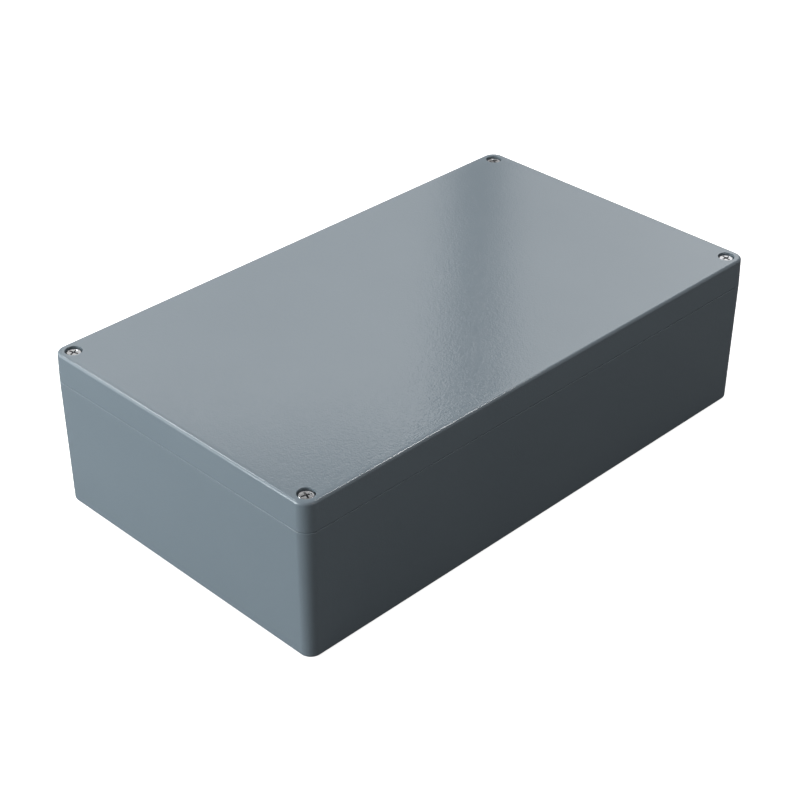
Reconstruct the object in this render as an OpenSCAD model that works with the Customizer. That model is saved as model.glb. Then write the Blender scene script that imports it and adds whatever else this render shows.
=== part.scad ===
// Die-cast aluminium enclosure: drafted base and lid, endless seal, captive lid screws and
// protective-earth terminals. Millimetres, Z up, origin at the middle of the underside.

/* [Box] */
// Length over the parting plane, where the box is widest
box_l = 400; // [300:5:600]
// Width over the parting plane
box_w = 230; // [180:5:400]
// Height of the base, from the underside to the parting plane
base_h = 90; // [55:5:200]
// Height of the lid above the parting plane
lid_h = 20; // [18:0.5:40]
// Radius of the upright corners at the parting plane
corner_r = 9.2; // [6:0.2:12]
// Draft of the base's outer walls, in degrees
base_draft = 0.75; // [0.25:0.25:1.5]
// Draft of the lid's outer walls, in degrees
lid_draft = 1.25; // [0.25:0.25:3]
// Radius of the base's lower edge
base_edge_r = 2; // [0.5:0.25:4]
// Radius of the lid's upper edge
lid_edge_r = 1.9; // [0.5:0.2:3]
// Radius of the base's rim at the parting line
base_rim_r = 0.4; // [0.2:0.1:1]
// Radius of the lid's rim at the parting line
lid_rim_r = 0.8; // [0.2:0.1:1.2]

/* [Casting] */
// Thickness of the side walls at the parting plane
wall_t = 5; // [4:0.25:6]
// Thickness of the floor
floor_t = 5; // [3:0.5:8]
// Thickness of the lid's top
top_t = 4.5; // [3:0.25:6]
// Draft of the inside walls, in degrees
core_draft = 1; // [0.5:0.25:2]
// Radius of the inside edges at the floor and under the lid
core_r = 3; // [1:0.5:4]
// Radius of the inside upright corners
inner_corner_r = 6; // [5:0.5:7]
// Wall of the corner columns between the screw holes and the inside
column_wall = 4; // [4:0.5:8]

/* [Seal] */
// Width of the tongue on the base's rim
tongue_w = 2.2; // [1.6:0.2:2.8]
// Ledge between the inside and the tongue
tongue_ledge = 0.4; // [0.2:0.1:0.8]
// Height of the tongue over the parting plane
tongue_h = 2.8; // [1.5:0.1:4]
// Room between the tongue and each side of the groove
groove_gap = 0.4; // [0.3:0.1:0.6]
// Thickness of the seal as it lies pressed
seal_t = 3.2; // [2:0.2:5]
// Width of the lip inside the groove
lip_w = 2.2; // [1.6:0.2:3]

/* [Lid screws] */
// Distance from the screws' axes to the long and short faces
screw_inset = 10; // [9.5:0.25:12]
// Thread diameter
screw_d = 6; // [5:0.5:6]
// Length of thread below the parting plane
screw_grip = 9.4; // [7:0.2:12]
// Head diameter
head_d = 9.8; // [9:0.1:10.4]
// Head height
head_h = 3.9; // [3.4:0.1:4.4]
// Radius of the head's edge
head_edge_r = 0.8; // [0.4:0.1:1.2]
// Depth of the head's top below the lid's face
head_sink = 1.2; // [0.2:0.1:3]
// Room round the head in its pocket
pocket_gap = 0.65; // [0.4:0.05:1]
// Room round the thread where it passes the lid
pass_gap = 0.3; // [0.2:0.05:0.5]
// Running clearance of a thread in its tapped hole
thread_gap = 0.05; // [0.03:0.01:0.08]
// Width across the cross recess
recess_w = 6.5; // [4:0.1:7]
// Depth of the cross recess
recess_deep = 2.6; // [1:0.1:3]
// Depth of the tapped holes in the columns
column_tap = 16; // [14:0.5:24]
// How far a screw rises until its thread is free
screw_rise = 9; // [5:0.5:10.5]

/* [Retaining rings] */
// Outer diameter of a ring
clip_d = 9.3; // [8:0.1:10]
// Thickness of a ring
clip_t = 0.7; // [0.5:0.1:1]
// Diameter of the screw in the ring's groove
groove_d = 4; // [3.5:0.1:4.4]
// Width of a ring's mouth
clip_mouth = 3.4; // [2.6:0.1:3.8]
// Height of a ring over the parting plane
clip_lift = 0.6; // [0.3:0.1:1]
// Side clearance of a ring in its groove
clip_gap = 0.02; // [0.01:0.01:0.05]

/* [Wall fixing] */
// Distance of the fixing holes from the lid screws, across the box
fix_step = 15; // [14:0.5:25]
// Diameter of the fixing holes
fix_d = 7; // [5:0.5:8]
// Diameter of the wells that take the fixing screws' heads
well_d = 12; // [10:0.5:12]
// Thickness of the pads at the wells' feet
pad_t = 6; // [4:0.5:12]

/* [Floor bosses] */
// Distance of all bosses from the short faces
boss_inset = 35; // [34:1:60]
// Distance of the mounting-plate bosses from the long faces
plate_inset = 27; // [22:1:32]
// Spacing of the rail bosses across the box
rail_w = 80; // [40:5:110]
// Height of the bosses over the floor
boss_h = 8; // [4:0.5:16]
// Diameter of the bosses at the top
boss_d = 11; // [9:0.5:14]
// Diameter of their tapped holes
boss_tap = 5; // [3:0.5:6]

/* [Earth terminals] */
// Distance of the terminals from the short face
earth_run = 70; // [60:1:120]
// Distance of the terminals from the long faces
earth_inset = 27; // [24:1:40]
// Height of the terminal bosses
earth_boss_h = 7; // [6:0.5:9]
// Diameter of the terminal bosses at the top
earth_boss_d = 13; // [11:0.5:16]
// Thread diameter of the earth screws
earth_d = 5; // [4:0.5:5]
// Length of the earth screws under the head
earth_len = 12; // [11:0.5:13]
// Head diameter of the earth screws
earth_head_d = 8.5; // [7.5:0.1:9.5]
// Head height of the earth screws
earth_head_h = 3.3; // [2.5:0.1:4]
// Radius of their heads' edge
earth_edge_r = 0.8; // [0.4:0.1:1.2]
// Width across their cross recess
earth_recess_w = 4.8; // [3.5:0.1:5.4]
// Depth of their cross recess
earth_recess_deep = 1.9; // [1:0.1:2.2]
// Thickness of the spring washers
washer_t = 1.2; // [0.8:0.1:1.6]
// Outer diameter of the spring washers
washer_d = 9; // [8.4:0.1:9.8]
// Side of the square clamps
clamp_w = 11; // [10.5:0.1:12]
// Thickness of the clamps' sheet
clamp_t = 1.2; // [0.8:0.1:1.5]
// Height of the wire channel under a clamp
channel_h = 2.5; // [1.5:0.1:3]

/* [Hidden] */
$fn = 64;

coat = [0.50, 0.55, 0.59];
seal_grey = [0.16, 0.16, 0.17];
stainless = [0.75, 0.75, 0.74];
spring_steel = [0.45, 0.45, 0.47];
zinc = [0.72, 0.73, 0.70];

cut = 1; // how far a cutting shape runs past a face
arc_steps = 6; // flats along a small edge radius
boss_lean = 0.75; // what a boss gains in radius from its top to its foot
boss_foot = 1; // height and width of the flare at a boss's foot
tap_chamfer = 0.7; // chamfer at the mouth of a tapped hole
tip_chamfer = 0.8; // chamfer at the tip of a screw
top_z = base_h + lid_h;

// Corner columns: the inside turns in round the screw hole and the fixing well
screw_x = box_l / 2 - screw_inset;
screw_y = box_w / 2 - screw_inset;
fix_y = screw_y - fix_step;
out_x = box_l / 2 - wall_t;
out_y = box_w / 2 - wall_t;
in_x = screw_x - well_d / 2 - column_wall;
in_y = fix_y - well_d / 2 - column_wall;

// Seal, from the inside of the base's wall outwards
groove_in = tongue_ledge - groove_gap;
groove_out = tongue_ledge + tongue_w + groove_gap;
groove_deep = tongue_h + seal_t;

// Lid screws, down from the lid's face
pocket_d = head_d + 2 * pocket_gap;
seat_z = top_z - head_sink - head_h;
screw_len = seat_z - base_h + screw_grip;
clip_z = base_h + clip_lift;
bore_d = clip_d + 2 * pocket_gap;
web_z = clip_z + clip_t + screw_rise + pass_gap;
screw_corners = [[-1, -1, -19], [1, -1, -9], [1, 1, -28], [-1, 1, 17]];

boss_x = box_l / 2 - boss_inset;
plate_y = box_w / 2 - plate_inset;

// Earth terminals: boss, wire channel, clamp, washer, screw
earth_x = box_l / 2 - earth_run;
earth_y = box_w / 2 - earth_inset;
base_boss_z = floor_t + earth_boss_h;
lid_boss_z = top_z - top_t - earth_boss_h;
earth_seat = channel_h + clamp_t + washer_t;
earth_tap = earth_len - earth_seat + 1;

// Points along an arc, in steps that suit a small cast radius
function arc(centre, r, from, to) = [for (i = [0:arc_steps])
    let (a = from + (to - from) * i / arc_steps) centre + r * [cos(a), sin(a)]];

// Half of a cast section: from the axis to a wall that is widest at y = 0 and leans inwards
// by the draft up to y = h, with a radius at either end
module half_section(core, reach, h, draft, near_r, far_r) {
    wide = core + reach;
    near_x = wide - near_r * (1 + sin(draft)) / cos(draft);
    far_x = wide - h * tan(draft) - far_r * (1 - sin(draft)) / cos(draft);
    polygon(concat([[0, 0]],
        near_r > 0 ? arc([near_x, near_r], near_r, -90, draft) : [[wide, 0]],
        arc([far_x, h - far_r], far_r, draft, 90), [[0, h]]));
}

// An edge radius, limited by the upright corner's own radius where the draft has shrunk it
function edge_limit(edge_r, corner, h, draft) = min(edge_r, 0.95 * (corner - h * tan(draft)));

// A drafted block with round upright corners, widest at z = 0, made of two crossing prisms
// and four turned corners that meet them face to face
module drafted_block(l, w, r, h, draft, near_r, far_r) {
    cx = l / 2 - r;
    cy = w / 2 - r;
    edge_r = edge_limit(far_r, r, h, draft);
    rotate([90, 0, 90]) linear_extrude(2 * cx, center = true)
        for (side = [0, 1]) mirror([side, 0]) half_section(cy, r, h, draft, near_r, edge_r);
    rotate([90, 0, 0]) linear_extrude(2 * cy, center = true)
        for (side = [0, 1]) mirror([side, 0]) half_section(cx, r, h, draft, near_r, edge_r);
    for (k = [0:3])
        translate([(k == 0 || k == 3 ? 1 : -1) * cx, (k < 2 ? 1 : -1) * cy, 0])
            rotate([0, 0, 90 * k]) rotate_extrude(angle = 90)
                half_section(0, r, h, draft, near_r, edge_r);
}

// Section of a column's inner corner: it leans out towards the floor and ends in a fillet
module column_section(r, h, draft, foot_r) {
    foot_x = r + (foot_r + sin(draft) * (h - foot_r)) / cos(draft);
    polygon(concat([[0, 0], [r, 0]],
        arc([foot_x, h - foot_r], foot_r, 180 - draft, 90), [[0, h]]));
}

// Inside of a casting: a cross that leaves the four corner columns, widest at z = 0
module cored_cross(grow, h) {
    corner = inner_corner_r + grow;
    fillet = inner_corner_r - grow;
    foot_r = edge_limit(core_r, corner, h, core_draft);
    reach = fillet + h * tan(core_draft) + foot_r + cut;
    drafted_block(2 * (out_x + grow), 2 * (in_y + grow), corner, h, core_draft, 0, foot_r);
    drafted_block(2 * (in_x + grow), 2 * (out_y + grow), corner, h, core_draft, 0, foot_r);
    for (sx = [0, 1], sy = [0, 1]) mirror([sx, 0, 0]) mirror([0, sy, 0])
        translate([in_x + grow + fillet, in_y + grow + fillet, 0]) difference() {
            translate([-reach, -reach, 0]) cube([reach, reach, h]);
            rotate([0, 0, 180]) rotate_extrude(angle = 90)
                column_section(fillet, h, core_draft, foot_r);
        }
}

// Outline of the same cross at the parting plane, grown outwards
module rounded_rectangle(l, w, r) {
    square([l - 2 * r, w], center = true);
    square([l, w - 2 * r], center = true);
    for (sx = [-1, 1], sy = [-1, 1]) translate([sx * (l / 2 - r), sy * (w / 2 - r)]) circle(r);
}

module cross_outline(grow) {
    fillet = inner_corner_r - grow;
    rounded_rectangle(2 * (out_x + grow), 2 * (in_y + grow), inner_corner_r + grow);
    rounded_rectangle(2 * (in_x + grow), 2 * (out_y + grow), inner_corner_r + grow);
    for (sx = [0, 1], sy = [0, 1]) mirror([sx, 0]) mirror([0, sy])
        translate([in_x + grow, in_y + grow]) difference() {
            square(fillet);
            translate([fillet, fillet]) circle(fillet);
        }
}

// An endless strip along the seal line
module seal_strip(from, to, h) {
    linear_extrude(h) difference() {
        cross_outline(to);
        cross_outline(from);
    }
}

module at_corners(x, y) {
    for (sx = [-1, 1], sy = [-1, 1]) translate([sx * x, sy * y, 0]) children();
}

// A cast boss with draft and a flared foot
module boss(d, h) {
    cylinder(h, d1 = d + 2 * boss_lean, d2 = d);
    cylinder(boss_foot, d1 = d + 4 * boss_foot, d2 = d + 2 * boss_foot);
}

// Blind tapped hole, downwards from z = 0, with a drill point
module tapped_hole(d, deep) {
    point = d / 4;
    translate([0, 0, -deep]) cylinder(deep + cut, d = d);
    translate([0, 0, -deep - point]) cylinder(point, d1 = 0, d2 = d);
}

// Chamfer at the mouth of a hole that opens at z = 0
module hole_mouth(d) {
    mouth = tap_chamfer + cut;
    translate([0, 0, -tap_chamfer]) cylinder(mouth, d1 = d, d2 = d + 2 * mouth);
}

module base() {
    color(coat) difference() {
        union() {
            difference() {
                translate([0, 0, base_h]) mirror([0, 0, 1])
                    drafted_block(box_l, box_w, corner_r, base_h, base_draft, base_rim_r, base_edge_r);
                translate([0, 0, base_h]) mirror([0, 0, 1]) cored_cross(0, base_h - floor_t);
            }
            translate([0, 0, base_h]) seal_strip(tongue_ledge, tongue_ledge + tongue_w, tongue_h);
            translate([0, 0, floor_t]) {
                at_corners(boss_x, plate_y) boss(boss_d, boss_h);
                at_corners(boss_x, rail_w / 2) boss(boss_d, boss_h);
                translate([-earth_x, -earth_y, 0]) boss(earth_boss_d, earth_boss_h);
            }
        }
        at_corners(screw_x, screw_y) translate([0, 0, base_h]) {
            tapped_hole(screw_d, column_tap);
            hole_mouth(screw_d);
        }
        at_corners(screw_x, fix_y) {
            translate([0, 0, pad_t]) cylinder(base_h, d = well_d);
            translate([0, 0, -cut]) cylinder(pad_t + 2 * cut, d = fix_d);
        }
        translate([0, 0, floor_t + boss_h]) {
            at_corners(boss_x, plate_y) tapped_hole(boss_tap, boss_h);
            at_corners(boss_x, rail_w / 2) tapped_hole(boss_tap, boss_h);
        }
        translate([-earth_x, -earth_y, base_boss_z]) tapped_hole(earth_d, earth_tap);
    }
}

module lid() {
    color(coat) difference() {
        union() {
            difference() {
                translate([0, 0, base_h])
                    drafted_block(box_l, box_w, corner_r, lid_h, lid_draft, lid_rim_r, lid_edge_r);
                translate([0, 0, base_h]) cored_cross(groove_in - lip_w, lid_h - top_t);
            }
            translate([-earth_x, earth_y, top_z - top_t]) mirror([0, 0, 1])
                boss(earth_boss_d, earth_boss_h);
        }
        translate([0, 0, base_h - cut])
            seal_strip(groove_in, groove_out, groove_deep + cut);
        at_corners(screw_x, screw_y) {
            translate([0, 0, seat_z]) cylinder(lid_h, d = pocket_d);
            translate([0, 0, base_h]) cylinder(lid_h, d = screw_d + 2 * pass_gap);
            translate([0, 0, base_h - cut]) cylinder(web_z - base_h + cut, d = bore_d);
        }
        // cored wells over the fixing screws, for an even wall
        at_corners(screw_x, fix_y) translate([0, 0, base_h - cut])
            cylinder(lid_h - top_t + cut, d = well_d);
        translate([-earth_x, earth_y, lid_boss_z]) mirror([0, 0, 1])
            tapped_hole(earth_d, earth_tap);
    }
}

module lid_gasket() {
    color(seal_grey) translate([0, 0, base_h + tongue_h])
        seal_strip(groove_in, groove_out, seal_t);
}

// Cross recess, tapering downwards from z = 0: two crossing arms and a round core
module cross_recess(wide, deep) {
    arm = wide / 5.4;
    foot = wide / 5;
    core = wide / 2.5;
    for (turn = [0, 90]) rotate([90, 0, turn]) linear_extrude(arm, center = true)
        polygon([[-wide / 2, cut], [wide / 2, cut], [wide / 2, 0], [foot, -deep],
            [-foot, -deep], [-wide / 2, 0]]);
    translate([0, 0, -deep]) cylinder(deep + cut, d = core);
}

// Cheese head with a rounded upper edge, standing on z = 0
module cheese_head(d, h, edge_r, recess, deep) {
    difference() {
        rotate_extrude() {
            square([d / 2 - edge_r, h]);
            square([d / 2, h - edge_r]);
            translate([d / 2 - edge_r, h - edge_r]) intersection() {
                circle(edge_r);
                square(edge_r);
            }
        }
        translate([0, 0, h]) cross_recess(recess, deep);
    }
}

// Threaded shank, hanging from z = 0, with a chamfered tip
module shank(d, len) {
    body_d = d - 2 * thread_gap;
    translate([0, 0, tip_chamfer - len]) cylinder(len - tip_chamfer, d = body_d);
    translate([0, 0, -len]) cylinder(tip_chamfer, d1 = body_d - 2 * tip_chamfer, d2 = body_d);
}

module lid_screw(k) {
    corner = screw_corners[k];
    color(stainless) translate([corner[0] * screw_x, corner[1] * screw_y, seat_z])
        rotate([0, 0, corner[2]]) {
            cheese_head(head_d, head_h, head_edge_r, recess_w, recess_deep);
            difference() {
                shank(screw_d, screw_len);
                translate([0, 0, clip_z - clip_gap - seat_z]) difference() {
                    cylinder(clip_t + 2 * clip_gap, d = screw_d + cut);
                    translate([0, 0, -cut]) cylinder(clip_t + 2 * cut, d = groove_d);
                }
            }
        }
}

// Retaining ring with an open mouth and three lugs that run in the screw's groove
module screw_clip(k) {
    corner = screw_corners[k];
    lug_r = groove_d / 2 + thread_gap;
    relief_r = (lug_r + clip_d / 2) / 2;
    color(spring_steel) translate([corner[0] * screw_x, corner[1] * screw_y, clip_z])
        rotate([0, 0, 45 - corner[2]]) linear_extrude(clip_t) difference() {
            circle(clip_d / 2);
            circle(lug_r);
            difference() {
                circle(relief_r);
                for (turn = [90, 210, 330]) rotate(turn)
                    translate([0, -lug_r / 2]) square([clip_d, lug_r]);
            }
            translate([-clip_mouth / 2, -clip_d]) square([clip_mouth, clip_d]);
        }
}

// The three pieces of a terminal, standing on a boss at z = 0
module earth_screw() {
    color(zinc) translate([0, 0, earth_seat]) {
        cheese_head(earth_head_d, earth_head_h, earth_edge_r, earth_recess_w, earth_recess_deep);
        shank(earth_d, earth_len);
    }
}

module earth_washer() {
    bore_r = earth_d / 2 + thread_gap;
    split = 10;
    color(spring_steel) translate([0, 0, channel_h + clamp_t])
        rotate([0, 0, split]) rotate_extrude(angle = 360 - split)
            translate([bore_r, 0]) square([washer_d / 2 - bore_r, washer_t]);
}

// Square clamp with two flanges turned down beside the wire channel
module earth_clamp() {
    height = channel_h + clamp_t;
    color(zinc) difference() {
        rotate([90, 0, 0]) linear_extrude(clamp_w, center = true) difference() {
            union() {
                translate([-clamp_w / 2, 0]) square([clamp_w, height - clamp_t]);
                translate([clamp_t - clamp_w / 2, 0]) square([clamp_w - 2 * clamp_t, height]);
                for (side = [-1, 1]) translate([side * (clamp_w / 2 - clamp_t), channel_h])
                    circle(clamp_t);
            }
            translate([clamp_t - clamp_w / 2, -cut]) square([clamp_w - 2 * clamp_t, channel_h + cut]);
        }
        cylinder(height + cut, d = earth_d + 2 * pass_gap);
    }
}

module in_base() { translate([-earth_x, -earth_y, base_boss_z]) children(); }

module in_lid() { translate([-earth_x, earth_y, lid_boss_z]) mirror([0, 0, 1]) children(); }

base();
lid();
lid_gasket();
lid_screw(0);  // lid_screw_1
lid_screw(1);  // lid_screw_2
lid_screw(2);  // lid_screw_3
lid_screw(3);  // lid_screw_4
screw_clip(0);  // screw_clip_1
screw_clip(1);  // screw_clip_2
screw_clip(2);  // screw_clip_3
screw_clip(3);  // screw_clip_4
in_base() earth_screw();  // base_earth_screw
in_base() earth_washer();  // base_earth_washer
in_base() earth_clamp();  // base_earth_clamp
in_lid() earth_screw();  // lid_earth_screw
in_lid() earth_washer();  // lid_earth_washer
in_lid() earth_clamp();  // lid_earth_clamp
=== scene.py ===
import math

import bmesh
import bpy
from mathutils import Matrix, Vector


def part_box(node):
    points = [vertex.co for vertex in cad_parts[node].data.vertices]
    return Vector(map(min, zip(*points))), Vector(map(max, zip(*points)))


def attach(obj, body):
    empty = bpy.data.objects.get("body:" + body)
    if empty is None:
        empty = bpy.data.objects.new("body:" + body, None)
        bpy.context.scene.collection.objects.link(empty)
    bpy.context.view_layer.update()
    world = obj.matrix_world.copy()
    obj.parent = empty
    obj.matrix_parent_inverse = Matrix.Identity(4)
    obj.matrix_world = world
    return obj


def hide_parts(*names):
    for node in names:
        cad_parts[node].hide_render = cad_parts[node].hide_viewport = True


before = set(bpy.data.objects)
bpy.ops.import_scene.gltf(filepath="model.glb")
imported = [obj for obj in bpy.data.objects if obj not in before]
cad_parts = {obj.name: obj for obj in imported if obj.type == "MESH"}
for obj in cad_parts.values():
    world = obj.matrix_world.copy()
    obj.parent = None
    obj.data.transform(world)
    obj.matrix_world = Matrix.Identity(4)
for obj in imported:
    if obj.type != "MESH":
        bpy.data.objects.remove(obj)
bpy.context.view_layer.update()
scene = bpy.context.scene
scene.view_settings.view_transform = "Standard"

# ---- Camera: it stands off the box's front left corner, a third of the way up to overhead,
# and frames the whole box.
heading, rise, roll = math.radians(-45.049), math.radians(33.042), math.radians(0.036)
back = Vector((math.sin(heading) * math.cos(rise), -math.cos(heading) * math.cos(rise), math.sin(rise)))
side = Vector((math.cos(heading), math.sin(heading), 0))
up = back.cross(side)
side, up = side * math.cos(roll) + up * math.sin(roll), up * math.cos(roll) - side * math.sin(roll)
camera = bpy.data.objects.new("camera", bpy.data.cameras.new("camera"))
camera.data.lens = 83.0
camera.matrix_world = (Matrix.Translation((-0.729836, -0.716113, 0.699913))
                       @ Matrix((side, up, back)).transposed().to_4x4())
scene.collection.objects.link(camera)
scene.camera = camera


# ---- Studio: a pale floor and a white room. Softboxes stand at the left, at the rear and, as a
# pair, behind at the right, where their gap shows as a dark band in the lid's gloss. Two strips
# overhead light the lid's long and short edge, and a small lamp stands in front.
class Shade:
    """A shader socket that works in Python expressions, and makes any other node from it."""

    def __init__(self, tree, socket=None):
        self.tree, self.socket = tree, socket

    def node(self, kind, inputs=None, out=0, **settings):
        made = self.tree.nodes.new("ShaderNode" + kind)
        for name, value in settings.items():
            setattr(made, name, value)
        for name, value in (inputs or {}).items():
            if isinstance(value, Shade):
                self.tree.links.new(value.socket, made.inputs[name])
            else:
                made.inputs[name].default_value = value
        return Shade(self.tree, made.outputs[out] if made.outputs else None)

    def maths(self, operation, first, second):
        return self.node("Math", {0: first, 1: second}, operation=operation)

    def __add__(self, other):
        return self.maths("ADD", self, other)

    def __sub__(self, other):
        return self.maths("SUBTRACT", self, other)

    def __rsub__(self, other):
        return self.maths("SUBTRACT", other, self)

    def __mul__(self, other):
        return self.maths("MULTIPLY", self, other)

    __radd__, __rmul__ = __add__, __mul__


def material(name):
    made = bpy.data.materials.new(name)
    made.use_nodes = True
    made.node_tree.nodes.clear()
    return made, Shade(made.node_tree)


def softbox(name, centre, aim, wide, high, glow, tint, fall=(0, 0)):
    """A panel that glows towards aim; fall dims it along its width and height."""
    bm = bmesh.new()
    bmesh.ops.create_grid(bm, x_segments=1, y_segments=1, size=0.5)
    bmesh.ops.scale(bm, vec=(wide, high, 1), verts=bm.verts)
    mesh = bpy.data.meshes.new(name)
    bm.to_mesh(mesh)
    panel = bpy.data.objects.new(name, mesh)
    facing = (Vector(centre) - Vector(aim)).to_track_quat("Z", "Y").to_matrix().to_4x4()
    panel.matrix_world = Matrix.Translation(centre) @ facing
    panel.visible_camera = False
    scene.collection.objects.link(panel)
    skin, shade = material(name)
    place = shade.node("TexCoord", out=3)
    across = shade.node("SeparateXYZ", {0: place})
    along = shade.node("SeparateXYZ", {0: place}, out=1)
    rear = shade.node("NewGeometry", out=6)
    level = (1 + across * (fall[0] / wide) + along * (fall[1] / high)) * glow * rear
    shade.node("OutputMaterial", {0: shade.node("Emission", {"Color": (*tint, 1), "Strength": level})})
    mesh.materials.append(skin)


daylight, cool, white = (0.93, 0.99, 1.0), (0.95, 0.99, 1), (1, 1, 1)
softbox("softbox_left", (-1.817, 0.847, 0.526), (0, 0, 0.1), 1.1, 1.3, 8.8, daylight)
softbox("softbox_rear", (-0.95, 1.53, 0.8), (0, 0, 0.8), 1.6, 1.56, 2.7, cool)
softbox("softbox_back_left", (0.866, 1.255, 0.89), (-0.195, 0.195, 0.89), 0.69, 0.78, 1.24, white,
        fall=(-0.24, 0.94))
softbox("softbox_back_right", (1.379, 0.742, 0.95), (0.318, -0.318, 0.95), 0.6, 0.8, 1.85, white,
        fall=(-0.46, 0.64))
softbox("strip_left", (-0.07, 1.336, 1.586), (0, 0, 0.1), 0.45, 0.42, 14.0, cool)
softbox("strip_right", (1.102, -0.058, 1.768), (0, 0, 0.1), 0.5, 0.34, 14.0, white)
softbox("lamp_front", (0.274, -1.552, 1.332), (0, 0, 0.1), 0.3, 0.3, 12.0, white)

world = scene.world or bpy.data.worlds.new("room")
scene.world = world
world.use_nodes = True
world.node_tree.nodes.clear()
room = Shade(world.node_tree)
seen = room.node("LightPath")
gloss = room.node("LightPath", out=3)
room_level = 0.15 + seen * 0.85 + gloss * 0.18
backdrop = room.node("Background", {"Color": (1, 1, 1, 1), "Strength": room_level})
room.node("OutputWorld", {0: backdrop})

bm = bmesh.new()
bmesh.ops.create_grid(bm, x_segments=1, y_segments=1, size=8)
floor_mesh = bpy.data.meshes.new("floor")
bm.to_mesh(floor_mesh)
floor = bpy.data.objects.new("floor", floor_mesh)
scene.collection.objects.link(floor)
floor_skin, shade = material("floor")
seen = shade.node("LightPath")
dull = shade.node("BsdfDiffuse", {"Color": (0.13, 0.13, 0.13, 1)})
pale = shade.node("AddShader", {0: shade.node("BsdfDiffuse", {"Color": (0.8, 0.8, 0.8, 1)}),
                                1: shade.node("Emission", {"Strength": 0.88})})
shade.node("OutputMaterial", {0: shade.node("MixShader", {0: seen, 1: dull, 2: pale})})
floor_mesh.materials.append(floor_skin)


# ---- Base: one aluminium pressure die-casting, with drafted walls that run round four corner
# columns, a tongue on its rim for the seal, and tapped bosses on its floor. Powder-coated.
mm = 0.001
base_low, base_high = (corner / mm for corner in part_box("base"))
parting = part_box("lid")[0].z / mm
corner_r, rim_r, foot_r, floor_t = 9.2, 0.4, 2.0, 5.0
arm_l, arm_w, wall_t, inner_r = 180.0, 80.0, 5.0, 6.0
ledge, tongue_w, tongue_h, core_r = 0.4, 2.2, 2.8, 3.0
base_draft, core_draft = 0.75, 1.0
screw_x, screw_y = base_high.x - 10, base_high.y - 10
tapped_r, tapped_deep = 3, 16
fixing_y, fixing_r, fixing_seat, well_r = screw_y - 15, 3.5, 6, 6
boss_x, plate_y, rail_y = base_high.x - 35, base_high.y - 27, 40
earth_x, earth_y = -(base_high.x - 70), base_high.y - 27


def slab(bm, half_l, half_w, corner, z):
    """A flat face with four round corners."""
    before = set(bm.faces)
    made = bmesh.ops.create_grid(bm, x_segments=1, y_segments=1, size=1)["verts"]
    for vert in made:
        vert.co = (vert.co.x * half_l, vert.co.y * half_w, z)
    bmesh.ops.bevel(bm, geom=made, affect="VERTICES", offset=corner, offset_type="OFFSET",
                    segments=12, profile=0.5, material=-1)
    return (set(bm.faces) - before).pop()


def cross(bm, reach, arm, outer_r, hollow_r, z):
    """A flat cross with round outer corners and round hollows."""
    before = set(bm.faces)
    bmesh.ops.create_grid(bm, x_segments=3, y_segments=3, size=1)
    squares = [f for f in bm.faces if f not in before]
    bmesh.ops.delete(bm, context="FACES", geom=[
        f for f in squares if min(abs(f.calc_center_median().x), abs(f.calc_center_median().y)) > 0.5])
    bmesh.ops.dissolve_faces(bm, faces=[f for f in bm.faces if f not in before])
    made = list((set(bm.faces) - before).pop().verts)
    hollows = [v for v in made if max(abs(v.co.x), abs(v.co.y)) < 0.5]
    for vert in made:
        x, y = (math.copysign(reach[k] if abs(vert.co[k]) > 0.5 else arm[k], vert.co[k]) for k in (0, 1))
        vert.co = (x, y, z)
    for verts, radius in ((hollows, hollow_r), ([v for v in made if v not in hollows], outer_r)):
        bmesh.ops.bevel(bm, geom=verts, affect="VERTICES", offset=radius, offset_type="OFFSET",
                        segments=8, profile=0.5, material=-1)
    return (set(bm.faces) - before).pop()


def inside_outline(bm, grow, z):
    """The inside's outline at the parting plane, grown outwards: it leaves out four corner columns."""
    return cross(bm, (base_high.x - wall_t + grow, base_high.y - wall_t + grow), (arm_l + grow, arm_w + grow),
                 inner_r + grow, inner_r - grow, z)


def rounding(radius, along, steps=6):
    """Insets that carry a wall round a quarter circle and into the flat."""
    for k in range(steps):
        a, b = math.pi / 2 * k / steps, math.pi / 2 * (k + 1) / steps
        yield radius * (math.cos(a) - math.cos(b)), along * radius * (math.sin(b) - math.sin(a))


def draw(bm, face, steps):
    """Carries a face inwards and along its axis step by step, and leaves a wall behind it."""
    for inwards, along in steps:
        ring = bmesh.ops.inset_individual(bm, faces=[face], thickness=inwards, depth=along,
                                          use_even_offset=True)["faces"]
    return ring


def turned(bm, x, y, profile, steps=48):
    """A hole or boss turned about an upright axis, from its mouth to its end."""
    made = [bm.verts.new((x + r, y, z)) for r, z in profile]
    edges = [bm.edges.new(pair) for pair in zip(made, made[1:])]
    bmesh.ops.spin(bm, geom=made + edges, cent=(x, y, 0), axis=(0, 0, 1), angle=math.tau,
                   steps=steps, use_merge=True)


def boss(bm, x, y, foot, way, top_r, lean, high, deep):
    """A tapped boss that stands up (way 1) or hangs (way -1), on a low collar; deep is its hole's
    depth past its foot."""
    hole_r, crown, hole_end = 2.5, foot + way * high, foot - way * deep
    turned(bm, x, y, [(top_r + 2, foot), (top_r + 1, foot + way), (top_r + lean, foot + way),
                      (top_r, crown), (hole_r, crown), (hole_r, hole_end), (0, hole_end - way * 1.25)])


def fill(bm, z):
    """Closes the flat between all the open edges at one height."""
    rim = [e for e in bm.edges if e.is_boundary and all(abs(v.co.z - z) < 1e-4 for v in e.verts)]
    bmesh.ops.triangle_fill(bm, use_beauty=True, use_dissolve=False, edges=rim, normal=(0, 0, 1))


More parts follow.
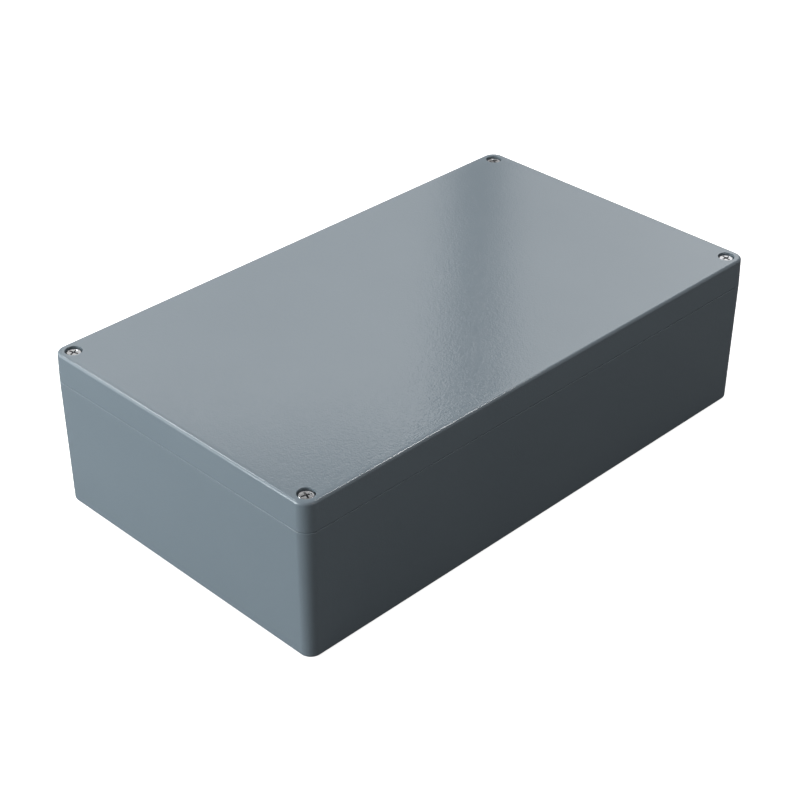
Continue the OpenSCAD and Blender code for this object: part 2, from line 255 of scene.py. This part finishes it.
def finish(bm, name, body, nodes, skin):
    """Puts a piece on its body, in place of its plain nodes."""
    crease = math.radians(32)
    bmesh.ops.remove_doubles(bm, verts=bm.verts, dist=2e-4)
    bmesh.ops.recalc_face_normals(bm, faces=bm.faces)
    for edge in bm.edges:
        edge.smooth = edge.calc_face_angle(math.pi) < crease
    bmesh.ops.scale(bm, vec=(mm, mm, mm), verts=bm.verts)
    mesh = bpy.data.meshes.new(name)
    bm.to_mesh(mesh)
    mesh.shade_smooth()
    for edge, sharp in zip(mesh.edges, [not e.smooth for e in bm.edges]):
        edge.use_edge_sharp = sharp
    mesh.materials.append(skin)
    piece = bpy.data.objects.new(name, mesh)
    scene.collection.objects.link(piece)
    level = piece.modifiers.new("even shading", "WEIGHTED_NORMAL")
    level.weight, level.keep_sharp = 100, True
    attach(piece, body)
    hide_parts(*nodes)


coat, shade = material("powder_coat")
place = shade.node("TexCoord", out=3)
peel = shade.node("TexNoise", {"Vector": place, "Scale": 1050.0, "Detail": 0.0})
ripple = shade.node("TexNoise", {"Vector": place, "Scale": 380.0, "Detail": 0.0})
cloud = shade.node("TexNoise", {"Vector": place, "Scale": 9.0, "Detail": 3.0, "Roughness": 0.5})
tone = shade.node("MapRange", {"Value": cloud, "From Min": 0.3, "From Max": 0.7,
                               "To Min": 0.0, "To Max": 1.0})
colour = shade.node("Mix", {0: tone, 6: (0.228, 0.274, 0.313, 1), 7: (0.240, 0.287, 0.326, 1)}, out=2,
                    data_type="RGBA")
bump = shade.node("Bump", {"Height": peel + ripple * 0.5, "Strength": 1.0, "Distance": 0.00005})
coat_gloss = 0.045 + tone * 0.02
shade.node("OutputMaterial", {0: shade.node("BsdfPrincipled", {
    "Base Color": colour, "Roughness": coat_gloss, "IOR": 1.5, "Normal": bump})})

corners = [(sx, sy) for sx in (-1, 1) for sy in (-1, 1)]
bm = bmesh.new()
lean = math.tan(math.radians(base_draft))
drop = parting - rim_r - foot_r
wall = slab(bm, base_high.x, base_high.y, corner_r, parting - rim_r)
draw(bm, wall, [(drop * lean, -drop), *rounding(foot_r, -1)])
rim = slab(bm, base_high.x, base_high.y, corner_r, parting - rim_r)
draw(bm, rim, rounding(rim_r, 1, 4))
bmesh.ops.delete(bm, geom=[wall, rim], context="FACES")

inside = inside_outline(bm, ledge + tongue_w, parting)
tongue = draw(bm, inside, [(tongue_w, 0)])
draw(bm, inside, [(ledge, 0)])
drop = parting - floor_t - core_r
draw(bm, inside, [(drop * math.tan(math.radians(core_draft)), -drop), *rounding(core_r, -1)])
bmesh.ops.delete(bm, geom=[inside], context="FACES")
raised = bmesh.ops.extrude_face_region(bm, geom=tongue)["geom"]
bmesh.ops.translate(bm, vec=(0, 0, tongue_h),
                    verts=[v for v in raised if isinstance(v, bmesh.types.BMVert)])
bmesh.ops.delete(bm, geom=[f for f in tongue if f.is_valid], context="FACES_ONLY")

for sx, sy in corners:
    turned(bm, sx * screw_x, sy * screw_y, [(tapped_r + 0.7, parting), (tapped_r, parting - 0.7),
                                            (tapped_r, parting - tapped_deep),
                                            (0, parting - tapped_deep - 1.5)])
    turned(bm, sx * screw_x, sy * fixing_y, [(well_r, parting), (well_r, fixing_seat),
                                             (fixing_r, fixing_seat), (fixing_r, 0)])
    for boss_y in (plate_y, rail_y):
        boss(bm, sx * boss_x, sy * boss_y, floor_t, 1, 5.5, 0.66, 8, 0)
boss(bm, earth_x, -earth_y, floor_t, 1, 6.5, 0.64, 7, 1.1)
for level in (0, floor_t, parting):
    fill(bm, level)
finish(bm, "base_casting", "base", ["base"], coat)

# ---- Lid: a shallower casting to the same outline. It has a groove for the seal, a stepped bore
# for each captive screw, and a blind cored well over each fixing hole.
bm = bmesh.new()
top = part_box("lid")[1].z / mm
half_l, half_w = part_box("lid")[1].x / mm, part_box("lid")[1].y / mm
rim_r, edge_r, top_t, lid_draft = 0.8, 1.9, 4.5, 1.25
groove_deep, groove_gap, lip_w = 6.0, 0.4, 2.2
head_d, head_h, head_sink = 9.8, 3.9, 1.2
pocket_r, pass_r, bore_r, web_t = 5.55, 3.3, 5.3, 4
rise = top - parting - rim_r - edge_r
wall = slab(bm, half_l, half_w, corner_r, parting + rim_r)
draw(bm, wall, [(rise * math.tan(math.radians(lid_draft)), rise), *rounding(edge_r, 1)])
rim = slab(bm, half_l, half_w, corner_r, parting + rim_r)
draw(bm, rim, rounding(rim_r, -1))
bmesh.ops.delete(bm, geom=[wall, rim], context="FACES")

inside = inside_outline(bm, ledge + tongue_w + groove_gap, parting)
groove = draw(bm, inside, [(tongue_w + 2 * groove_gap, 0)])
draw(bm, inside, [(lip_w, 0)])
rise = top - top_t - parting - core_r
draw(bm, inside, [(rise * math.tan(math.radians(core_draft)), rise), *rounding(core_r, 1)])
bmesh.ops.delete(bm, geom=[inside], context="FACES")
sunk = bmesh.ops.extrude_face_region(bm, geom=groove)["geom"]
bmesh.ops.translate(bm, vec=(0, 0, groove_deep),
                    verts=[v for v in sunk if isinstance(v, bmesh.types.BMVert)])
bmesh.ops.delete(bm, geom=[f for f in groove if f.is_valid], context="FACES_ONLY")

seat, ceiling = top - head_sink - head_h, top - top_t
for sx, sy in corners:
    turned(bm, sx * screw_x, sy * screw_y, [(pocket_r, top), (pocket_r, seat), (pass_r, seat),
                                            (pass_r, seat - web_t), (bore_r, seat - web_t),
                                            (bore_r, parting)])
    turned(bm, sx * screw_x, sy * fixing_y, [(well_r, parting), (well_r, ceiling), (0, ceiling)])
boss(bm, earth_x, earth_y, ceiling, -1, 6.5, 0.64, 7, 1.1)
for level in (parting, ceiling, top):
    fill(bm, level)
finish(bm, "lid_casting", "lid", ["lid"], coat)

# ---- Seal: an endless moulded rubber strip, pressed into the lid's groove and closed on by the
# tongue of the base.
rubber, shade = material("seal_rubber")
place = shade.node("TexCoord", out=3)
skin_grain = shade.node("TexNoise", {"Vector": place, "Scale": 1500.0, "Detail": 3.0, "Roughness": 0.6})
bloom = shade.node("TexNoise", {"Vector": place, "Scale": 35.0, "Detail": 3.0, "Roughness": 0.6})
colour = shade.node("Mix", {0: bloom, 6: (0.018, 0.018, 0.020, 1), 7: (0.034, 0.034, 0.036, 1)}, out=2,
                    data_type="RGBA")
shade.node("OutputMaterial", {0: shade.node("BsdfPrincipled", {
    "Base Color": colour, "Roughness": 0.55 + bloom * 0.2,
    "Normal": shade.node("Bump", {"Height": skin_grain, "Strength": 0.5, "Distance": 0.00005})})})

bm = bmesh.new()
seal_foot, seal_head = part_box("lid_gasket")[0].z / mm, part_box("lid_gasket")[1].z / mm
crown_w, crown_h = 0.5, 0.4
middle = inside_outline(bm, ledge + tongue_w + groove_gap, seal_foot + crown_h)
strip = draw(bm, middle, [(tongue_w + 2 * groove_gap, 0)])
bmesh.ops.delete(bm, geom=[middle], context="FACES_ONLY")
raised = bmesh.ops.extrude_face_region(bm, geom=strip)["geom"]
lifted = [v for v in raised if isinstance(v, bmesh.types.BMVert)]
bmesh.ops.translate(bm, vec=(0, 0, seal_head - seal_foot - 2 * crown_h), verts=lifted)
upper = [f for f in raised if isinstance(f, bmesh.types.BMFace)]
for faces, along in ((strip, -crown_h), (upper, crown_h)):
    crown = [f for f in faces if f.is_valid]
    bmesh.ops.inset_region(bm, faces=crown, thickness=crown_w, depth=0.0, use_boundary=True,
                           use_even_offset=True)
    bmesh.ops.translate(bm, vec=(0, 0, along), verts=list({v for f in crown for v in f.verts}))
finish(bm, "seal_strip", "lid", ["lid_gasket"], rubber)

# ---- Lid screws: four captive cheese-head screws of stainless steel, M6, with a cross recess and
# a groove for the retaining ring. Turned, with a rolled thread.
steel, shade = material("stainless_steel")
place = shade.node("TexCoord", out=3)
from_axis = shade.node("VectorMath", {
    0: shade.node("VectorMath", {0: place}, operation="ABSOLUTE"),
    1: (screw_x * mm, screw_y * mm, 0)}, operation="SUBTRACT")
from_axis = shade.node("VectorMath", {0: from_axis, 1: (1, 1, 0)}, operation="MULTIPLY")
radius = shade.node("VectorMath", {0: from_axis}, out=1, operation="LENGTH")
rings = shade.node("TexNoise", {"W": radius * 9000.0, "Detail": 2.0}, noise_dimensions="1D")
grime = shade.node("TexNoise", {"Vector": place, "Scale": 700.0, "Detail": 3.0})
shade.node("OutputMaterial", {0: shade.node("BsdfPrincipled", {
    "Base Color": (0.42, 0.422, 0.43, 1), "Metallic": 1.0,
    "Roughness": 0.1 + rings * 0.06 + grime * 0.06,
    "Normal": shade.node("Bump", {"Height": rings, "Strength": 0.6, "Distance": 0.000006})})})


def machine_screw(bm, head_d, head_h, edge_r, recess, shank_d, length, pitch, plain, groove=None):
    """A screw with its head on z = 0. recess is its width and depth; plain is the shank's length
    above the thread; groove is the height of its top, its radius and the height of its foot."""
    top_r = head_d / 2 - edge_r
    edge = [(top_r + edge_r * math.sin(a), head_h - edge_r + edge_r * math.cos(a))
            for a in (math.pi / 12 * k for k in range(7))]
    shank_r = shank_d / 2
    core_r = shank_r - 0.54 * pitch
    neck = [(shank_r, 0)]
    if groove:
        neck += [(shank_r, groove[0]), (groove[1], groove[0]), (groove[1], groove[2]), (shank_r, groove[2])]
    shank = [(shank_r, -plain), (core_r, -plain - 0.5), (core_r, 0.7 - length),
             (core_r - 0.4, -length), (0, -length)]
    turned(bm, 0, 0, edge + neck + shank, 40)
    reach, arm = recess[0] / 2, recess[0] / 10.5
    mouth = cross(bm, (reach, reach), (arm, arm), 0.15, recess[0] / 10, head_h)
    draw(bm, mouth, [(0.02, -recess[1])])
    bmesh.ops.scale(bm, vec=(0.5, 0.5, 1), verts=mouth.verts)
    fill(bm, head_h)
    # rolled thread: one tooth carried round and up the shank, run out at both ends
    turns = (length - plain - 0.2) / pitch
    tooth = [bm.verts.new((r, 0, z - length)) for r, z in (
        (core_r - 0.1, 0), (core_r - 0.1, 0.8 * pitch), (shank_r, 0.46 * pitch), (shank_r, 0.34 * pitch))]
    ring = [bm.edges.new((tooth[k], tooth[(k + 1) % 4])) for k in range(4)]
    before = set(bm.verts) - set(tooth)
    bmesh.ops.spin(bm, geom=tooth + ring, cent=(0, 0, 0), axis=(0, 0, 1), dvec=(0, 0, pitch / 24),
                   angle=math.tau * turns, steps=round(24 * turns))
    for vert in set(bm.verts) - before:
        out = Vector((vert.co.x, vert.co.y)).length
        run = core_r - 0.1 + max(0, min(vert.co.z + length, -plain - vert.co.z + 0.3)) * 0.6
        if out > run:
            vert.co.x, vert.co.y = vert.co.x * run / out, vert.co.y * run / out
    bmesh.ops.holes_fill(bm, edges=[e for e in bm.edges if e.is_boundary], sides=6)


for k, (sx, sy, turn) in enumerate(((-1, -1, -19), (1, -1, -9), (1, 1, -28), (-1, 1, 17)), 1):
    bm = bmesh.new()
    machine_screw(bm, head_d, head_h, edge_r=0.8, recess=(6.5, 2.6), shank_d=5.88, length=24.3,
                  pitch=1.0, plain=14.4, groove=(-13.58, 2.0, -14.32))
    bmesh.ops.rotate(bm, cent=(0, 0, 0), matrix=Matrix.Rotation(math.radians(turn), 3, "Z"), verts=bm.verts)
    bmesh.ops.translate(bm, vec=(sx * screw_x, sy * screw_y, seat), verts=bm.verts)
    finish(bm, f"captive_screw_{k}", f"screw_{k}", [f"lid_screw_{k}"], steel)

# ---- Retaining rings and spring washers: spring-steel rings with an open mouth, pushed sideways
# into the screws' grooves under the lid, or split and laid under an earth screw. Stamped and blued.
spring, shade = material("spring_steel")
place = shade.node("TexCoord", out=3)
temper = shade.node("TexNoise", {"Vector": place, "Scale": 260.0, "Detail": 3.0})
colour = shade.node("Mix", {0: temper, 6: (0.16, 0.16, 0.175, 1), 7: (0.33, 0.32, 0.31, 1)}, out=2,
                    data_type="RGBA")
shade.node("OutputMaterial", {0: shade.node("BsdfPrincipled", {
    "Base Color": colour, "Metallic": 1.0, "Roughness": 0.26 + temper * 0.16,
    "Normal": shade.node("Bump", {"Height": temper, "Strength": 0.4, "Distance": 0.00001})})})
for name in [f"screw_clip_{k}" for k in range(1, 5)] + ["base_earth_washer", "lid_earth_washer"]:
    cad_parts[name].material_slots[0].material = spring

# ---- Earth terminals: a zinc-plated M5 screw, a spring washer and a square clamp on a bare boss,
# one in the base and one under the lid, for the protective conductor.
zinc, shade = material("zinc_plate")
place = shade.node("TexCoord", out=3)
spangle = shade.node("TexVoronoi", {"Vector": place, "Scale": 900.0}, out=0)
haze = shade.node("TexNoise", {"Vector": place, "Scale": 120.0, "Detail": 3.0})
colour = shade.node("Mix", {0: haze, 6: (0.60, 0.61, 0.60, 1), 7: (0.70, 0.71, 0.74, 1)}, out=2,
                    data_type="RGBA")
shade.node("OutputMaterial", {0: shade.node("BsdfPrincipled", {
    "Base Color": colour, "Metallic": 1.0, "Roughness": 0.24 + spangle * 0.15,
    "Normal": shade.node("Bump", {"Height": spangle, "Strength": 0.3, "Distance": 0.00001})})})
boss_h, stack_h = 7, 4.9
for where, side_y, boss_z, way in (("base", -earth_y, floor_t + boss_h, 1),
                                   ("lid", earth_y, ceiling - boss_h, -1)):
    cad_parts[f"{where}_earth_clamp"].material_slots[0].material = zinc
    bm = bmesh.new()
    machine_screw(bm, 8.5, 3.3, edge_r=0.8, recess=(5.2, 1.9), shank_d=4.88, length=12, pitch=0.8,
                  plain=1.2)
    bmesh.ops.rotate(bm, cent=(0, 0, 0), matrix=Matrix.Rotation(math.radians(25), 3, "Z"), verts=bm.verts)
    if way < 0:
        bmesh.ops.rotate(bm, cent=(0, 0, 0), matrix=Matrix.Rotation(math.pi, 3, "X"), verts=bm.verts)
    bmesh.ops.translate(bm, vec=(earth_x, side_y, boss_z + way * stack_h), verts=bm.verts)
    finish(bm, f"{where}_clamping_screw", f"{where}_clamp_screw", [f"{where}_earth_screw"], zinc)
